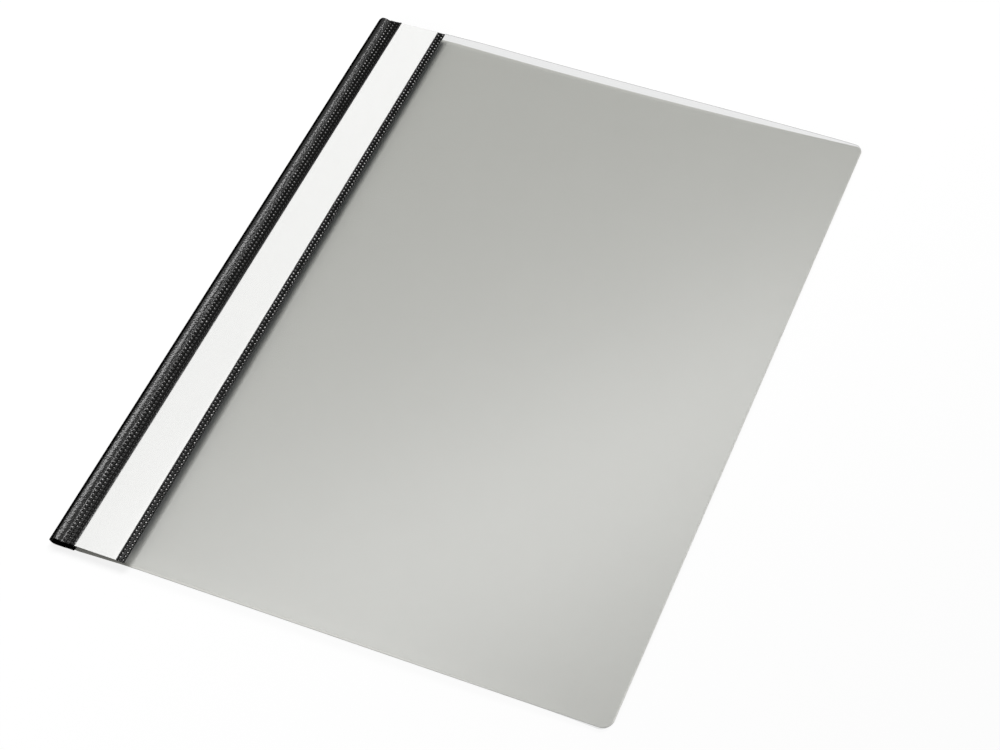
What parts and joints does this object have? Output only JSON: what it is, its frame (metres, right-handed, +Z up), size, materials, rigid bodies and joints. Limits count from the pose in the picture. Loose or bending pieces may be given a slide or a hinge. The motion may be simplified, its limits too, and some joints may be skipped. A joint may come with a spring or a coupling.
{
  "type": "report file",
  "caption": "Flat plastic report file for A4 sheets: clear front cover, grey back cover, black spine film with a paper title strip, and a prong fastener inside.",
  "frame": {"origin": "middle of the closed file's footprint, on the surface that it lies on", "axes": "+X from the spine to the free edge, +Y along the spine to the page's top, +Z up through the front cover"},
  "size_m": [0.236, 0.312, 0.005],
  "materials": {
    "grey_sheet": "opaque light-grey PVC sheet with a fine matt grain",
    "black_film": "black PVC film with a soft leather grain",
    "clear_film": "clear smooth PVC film",
    "title_paper": "smooth white paper",
    "tinplate": "bright rolled tinplate",
    "black_plastic": "moulded, satin"
  },
  "bodies": {
    "back": {"back_cover": "grey_sheet", "spine_rear_leaf": "black_film", "rear_weld_seam": "black_film", "filing_strip": "black_film", "fastener_base": "tinplate"},
    "spine": {"spine_bead": "black_film"},
    "title_leaf": {"title_leaf_lining": "black_film", "spine_weld_seam": "black_film", "cover_weld_seam": "black_film", "title_pocket_film": "clear_film"},
    "front": {"clear_front_cover": "clear_film"},
    "label": {"title_strip": "title_paper"},
    "prong_low": {"lower_prong": "tinplate"},
    "prong_up": {"upper_prong": "tinplate"},
    "bar": {"compressor_bar": "black_plastic"}
  },
  "joints": [
    {"name": "spine_fold", "type": "hinge", "parent": "back", "child": "spine", "pos_m": [-0.118, 0, 0], "axis": [0, -1, 0], "range_deg": [0, 90]},
    {"name": "leaf_fold", "type": "hinge", "parent": "spine", "child": "title_leaf", "pos_m": [-0.118, 0, 0.005], "axis": [0, -1, 0], "range_deg": [0, 90]},
    {"name": "cover_fold", "type": "hinge", "parent": "title_leaf", "child": "front", "pos_m": [-0.0838, 0, 0.0047], "axis": [0, -1, 0], "range_deg": [0, 170]},
    {"name": "title_slide", "type": "slide", "parent": "title_leaf", "child": "label", "axis": [0, 1, 0], "range_m": [0, 0.31]},
    {"name": "lower_prong_bend", "type": "hinge", "parent": "back", "child": "prong_low", "pos_m": [-0.0996, -0.04, 0.00215], "axis": [1, 0, 0], "range_deg": [0, 90]},
    {"name": "upper_prong_bend", "type": "hinge", "parent": "back", "child": "prong_up", "pos_m": [-0.0996, 0.04, 0.00215], "axis": [-1, 0, 0], "range_deg": [0, 90]},
    {"name": "bar_lift", "type": "slide", "parent": "back", "child": "bar", "axis": [0, 0, 1], "range_m": [0, 0.00025]}
  ],
  "couplings": [
    {"joint": "leaf_fold", "follows": "spine_fold", "ratio": 1},
    {"joint": "lower_prong_bend", "follows": "spine_fold", "ratio": 1},
    {"joint": "upper_prong_bend", "follows": "spine_fold", "ratio": 1}
  ]
}
